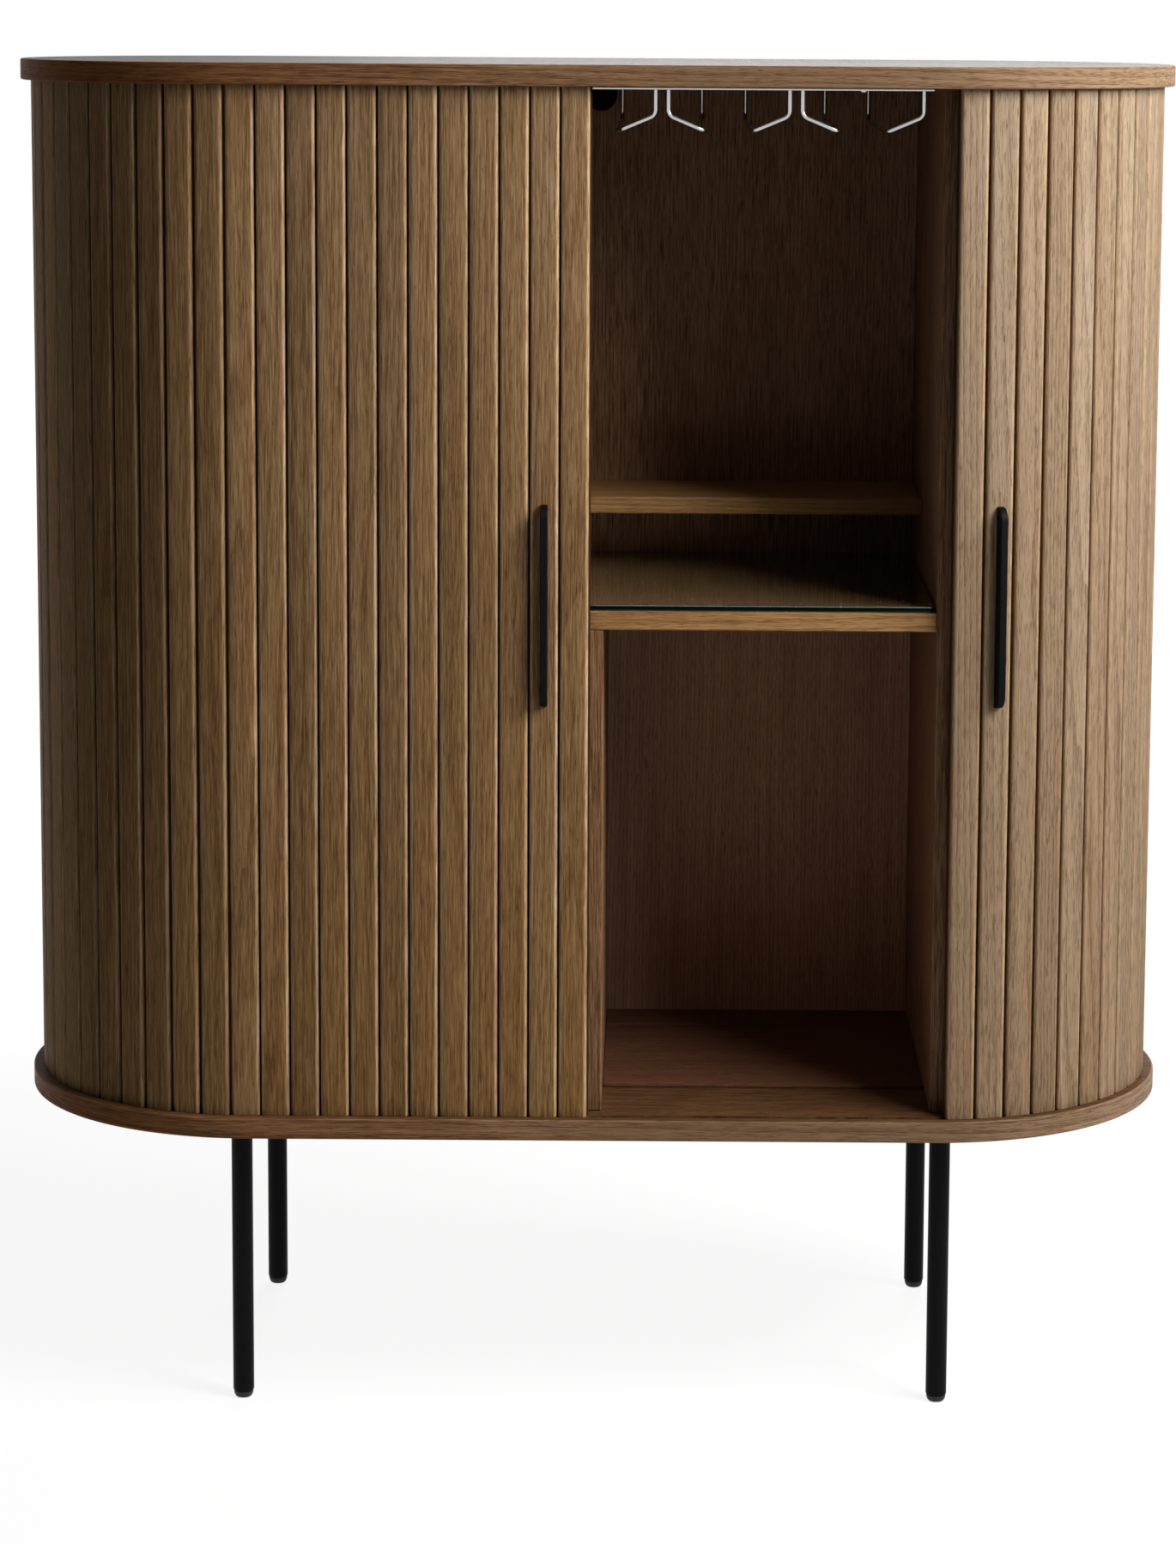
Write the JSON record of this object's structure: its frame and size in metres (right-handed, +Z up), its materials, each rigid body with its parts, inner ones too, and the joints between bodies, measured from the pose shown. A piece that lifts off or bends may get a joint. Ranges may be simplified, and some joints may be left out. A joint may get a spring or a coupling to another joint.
{
  "type": "bar cabinet",
  "caption": "Free-standing bar cabinet on round legs, with tambour doors that slide round its rounded ends, a glass serving plate and a rack for stemmed glasses.",
  "frame": {"origin": "on the floor under the middle of the overall box, handles included", "axes": "+Z up, -Y out of the front, +X to the right of someone facing the front"},
  "size_m": [1, 0.424, 1.15],
  "materials": {
    "smoked_oak": "matt lacquered smoked oak veneer",
    "inner_oak": "matt lacquered smoked oak veneer, inside",
    "black_steel": "fine matt black powder coat",
    "chrome_wire": "polished",
    "clear_glass": "clear with polished edges",
    "black_plastic": "matt"
  },
  "bodies": {
    "carcass": {"top_board": "smoked_oak", "bottom_board": "smoked_oak", "left_side_panel": "inner_oak", "right_side_panel": "inner_oak", "inner_back": "inner_oak", "centre_divider": "inner_oak", "niche_board": "inner_oak", "glass_plate": "clear_glass", "upper_shelf": "inner_oak", "left_floor_panel": "inner_oak", "right_floor_panel": "inner_oak", "back_panel": "smoked_oak", "left_rear_quarter": "smoked_oak", "right_rear_quarter": "smoked_oak", "rack_front_strip": "chrome_wire", "rack_rear_strip": "chrome_wire", "rack_wire_1": "chrome_wire", "rack_wire_2": "chrome_wire", "rack_wire_3": "chrome_wire", "rack_wire_4": "chrome_wire", "rack_wire_5": "chrome_wire", "rack_wire_6": "chrome_wire", "rack_wire_7": "chrome_wire", "rack_wire_8": "chrome_wire", "rack_wire_9": "chrome_wire", "rack_wire_10": "chrome_wire", "front_left_leg": "black_steel", "front_left_glide": "black_plastic", "front_right_leg": "black_steel", "front_right_glide": "black_plastic", "rear_left_leg": "black_steel", "rear_left_glide": "black_plastic", "rear_right_leg": "black_steel", "rear_right_glide": "black_plastic"},
    "left_wing": {"left_wing": "smoked_oak"},
    "left_slat_1": {"left_slat_1": "smoked_oak"},
    "left_slat_2": {"left_slat_2": "smoked_oak", "left_handle": "black_steel"},
    "left_slat_3": {"left_slat_3": "smoked_oak"},
    "left_slat_4": {"left_slat_4": "smoked_oak"},
    "left_slat_5": {"left_slat_5": "smoked_oak"},
    "left_slat_6": {"left_slat_6": "smoked_oak"},
    "left_slat_7": {"left_slat_7": "smoked_oak"},
    "left_slat_8": {"left_slat_8": "smoked_oak"},
    "left_slat_9": {"left_slat_9": "smoked_oak"},
    "left_slat_10": {"left_slat_10": "smoked_oak"},
    "left_slat_11": {"left_slat_11": "smoked_oak"},
    "right_wing": {"right_wing": "smoked_oak"},
    "right_slat_1": {"right_slat_1": "smoked_oak"},
    "right_slat_2": {"right_slat_2": "smoked_oak", "right_handle": "black_steel"},
    "right_slat_3": {"right_slat_3": "smoked_oak"},
    "right_slat_4": {"right_slat_4": "smoked_oak"},
    "right_slat_5": {"right_slat_5": "smoked_oak"},
    "right_slat_6": {"right_slat_6": "smoked_oak"},
    "right_slat_7": {"right_slat_7": "smoked_oak"},
    "right_slat_8": {"right_slat_8": "smoked_oak"},
    "right_slat_9": {"right_slat_9": "smoked_oak"},
    "right_slat_10": {"right_slat_10": "smoked_oak"},
    "right_slat_11": {"right_slat_11": "smoked_oak"}
  },
  "joints": [
    {"name": "left_door", "type": "hinge", "parent": "carcass", "child": "left_wing", "pos_m": [-0.29, 0.002, 0.7], "axis": [0, 0, -1], "range_deg": [0, 88.32]},
    {"name": "left_slat_1_hinge", "type": "hinge", "parent": "carcass", "child": "left_slat_1", "pos_m": [-0.15254, 2.34985, 0.7], "axis": [0, 0, -1], "range_deg": [0, 6.7]},
    {"name": "left_slat_2_hinge", "type": "hinge", "parent": "carcass", "child": "left_slat_2", "pos_m": [-0.16511, 1.00702, 0.7], "axis": [0, 0, -1], "range_deg": [0, 14.17]},
    {"name": "left_slat_3_hinge", "type": "hinge", "parent": "carcass", "child": "left_slat_3", "pos_m": [-0.17768, 0.58986, 0.7], "axis": [0, 0, -1], "range_deg": [0, 21.63]},
    {"name": "left_slat_4_hinge", "type": "hinge", "parent": "carcass", "child": "left_slat_4", "pos_m": [-0.19026, 0.38631, 0.7], "axis": [0, 0, -1], "range_deg": [0, 29.1]},
    {"name": "left_slat_5_hinge", "type": "hinge", "parent": "carcass", "child": "left_slat_5", "pos_m": [-0.20283, 0.26585, 0.7], "axis": [0, 0, -1], "range_deg": [0, 36.56]},
    {"name": "left_slat_6_hinge", "type": "hinge", "parent": "carcass", "child": "left_slat_6", "pos_m": [-0.21541, 0.18649, 0.7], "axis": [0, 0, -1], "range_deg": [0, 44.03]},
    {"name": "left_slat_7_hinge", "type": "hinge", "parent": "carcass", "child": "left_slat_7", "pos_m": [-0.22798, 0.13059, 0.7], "axis": [0, 0, -1], "range_deg": [0, 51.5]},
    {"name": "left_slat_8_hinge", "type": "hinge", "parent": "carcass", "child": "left_slat_8", "pos_m": [-0.24055, 0.08946, 0.7], "axis": [0, 0, -1], "range_deg": [0, 58.96]},
    {"name": "left_slat_9_hinge", "type": "hinge", "parent": "carcass", "child": "left_slat_9", "pos_m": [-0.25313, 0.05832, 0.7], "axis": [0, 0, -1], "range_deg": [0, 66.43]},
    {"name": "left_slat_10_hinge", "type": "hinge", "parent": "carcass", "child": "left_slat_10", "pos_m": [-0.2657, 0.03431, 0.7], "axis": [0, 0, -1], "range_deg": [0, 73.89]},
    {"name": "left_slat_11_hinge", "type": "hinge", "parent": "carcass", "child": "left_slat_11", "pos_m": [-0.27828, 0.01564, 0.7], "axis": [0, 0, -1], "range_deg": [0, 81.36]},
    {"name": "right_door", "type": "hinge", "parent": "carcass", "child": "right_wing", "pos_m": [0.29, 0.002, 0.7], "axis": [0, 0, -1], "range_deg": [0, 88.32]},
    {"name": "right_slat_1_hinge", "type": "hinge", "parent": "carcass", "child": "right_slat_1", "pos_m": [0.15254, 2.34985, 0.7], "axis": [0, 0, -1], "range_deg": [0, 6.7]},
    {"name": "right_slat_2_hinge", "type": "hinge", "parent": "carcass", "child": "right_slat_2", "pos_m": [0.16511, 1.00702, 0.7], "axis": [0, 0, -1], "range_deg": [0, 14.17]},
    {"name": "right_slat_3_hinge", "type": "hinge", "parent": "carcass", "child": "right_slat_3", "pos_m": [0.17768, 0.58986, 0.7], "axis": [0, 0, -1], "range_deg": [0, 21.63]},
    {"name": "right_slat_4_hinge", "type": "hinge", "parent": "carcass", "child": "right_slat_4", "pos_m": [0.19026, 0.38631, 0.7], "axis": [0, 0, -1], "range_deg": [0, 29.1]},
    {"name": "right_slat_5_hinge", "type": "hinge", "parent": "carcass", "child": "right_slat_5", "pos_m": [0.20283, 0.26585, 0.7], "axis": [0, 0, -1], "range_deg": [0, 36.56]},
    {"name": "right_slat_6_hinge", "type": "hinge", "parent": "carcass", "child": "right_slat_6", "pos_m": [0.21541, 0.18649, 0.7], "axis": [0, 0, -1], "range_deg": [0, 44.03]},
    {"name": "right_slat_7_hinge", "type": "hinge", "parent": "carcass", "child": "right_slat_7", "pos_m": [0.22798, 0.13059, 0.7], "axis": [0, 0, -1], "range_deg": [0, 51.5]},
    {"name": "right_slat_8_hinge", "type": "hinge", "parent": "carcass", "child": "right_slat_8", "pos_m": [0.24055, 0.08946, 0.7], "axis": [0, 0, -1], "range_deg": [0, 58.96]},
    {"name": "right_slat_9_hinge", "type": "hinge", "parent": "carcass", "child": "right_slat_9", "pos_m": [0.25313, 0.05832, 0.7], "axis": [0, 0, -1], "range_deg": [0, 66.43]},
    {"name": "right_slat_10_hinge", "type": "hinge", "parent": "carcass", "child": "right_slat_10", "pos_m": [0.2657, 0.03431, 0.7], "axis": [0, 0, -1], "range_deg": [0, 73.89]},
    {"name": "right_slat_11_hinge", "type": "hinge", "parent": "carcass", "child": "right_slat_11", "pos_m": [0.27828, 0.01564, 0.7], "axis": [0, 0, -1], "range_deg": [0, 81.36]}
  ],
  "couplings": [
    {"joint": "left_slat_1_hinge", "follows": "left_door", "ratio": 0.075879},
    {"joint": "left_slat_2_hinge", "follows": "left_door", "ratio": 0.16041},
    {"joint": "left_slat_3_hinge", "follows": "left_door", "ratio": 0.24494},
    {"joint": "left_slat_4_hinge", "follows": "left_door", "ratio": 0.32947},
    {"joint": "left_slat_5_hinge", "follows": "left_door", "ratio": 0.414},
    {"joint": "left_slat_6_hinge", "follows": "left_door", "ratio": 0.49853},
    {"joint": "left_slat_7_hinge", "follows": "left_door", "ratio": 0.58306},
    {"joint": "left_slat_8_hinge", "follows": "left_door", "ratio": 0.66759},
    {"joint": "left_slat_9_hinge", "follows": "left_door", "ratio": 0.75212},
    {"joint": "left_slat_10_hinge", "follows": "left_door", "ratio": 0.83665},
    {"joint": "left_slat_11_hinge", "follows": "left_door", "ratio": 0.92118},
    {"joint": "right_slat_1_hinge", "follows": "right_door", "ratio": 0.075879},
    {"joint": "right_slat_2_hinge", "follows": "right_door", "ratio": 0.16041},
    {"joint": "right_slat_3_hinge", "follows": "right_door", "ratio": 0.24494},
    {"joint": "right_slat_4_hinge", "follows": "right_door", "ratio": 0.32947},
    {"joint": "right_slat_5_hinge", "follows": "right_door", "ratio": 0.414},
    {"joint": "right_slat_6_hinge", "follows": "right_door", "ratio": 0.49853},
    {"joint": "right_slat_7_hinge", "follows": "right_door", "ratio": 0.58306},
    {"joint": "right_slat_8_hinge", "follows": "right_door", "ratio": 0.66759},
    {"joint": "right_slat_9_hinge", "follows": "right_door", "ratio": 0.75212},
    {"joint": "right_slat_10_hinge", "follows": "right_door", "ratio": 0.83665},
    {"joint": "right_slat_11_hinge", "follows": "right_door", "ratio": 0.92118}
  ]
}
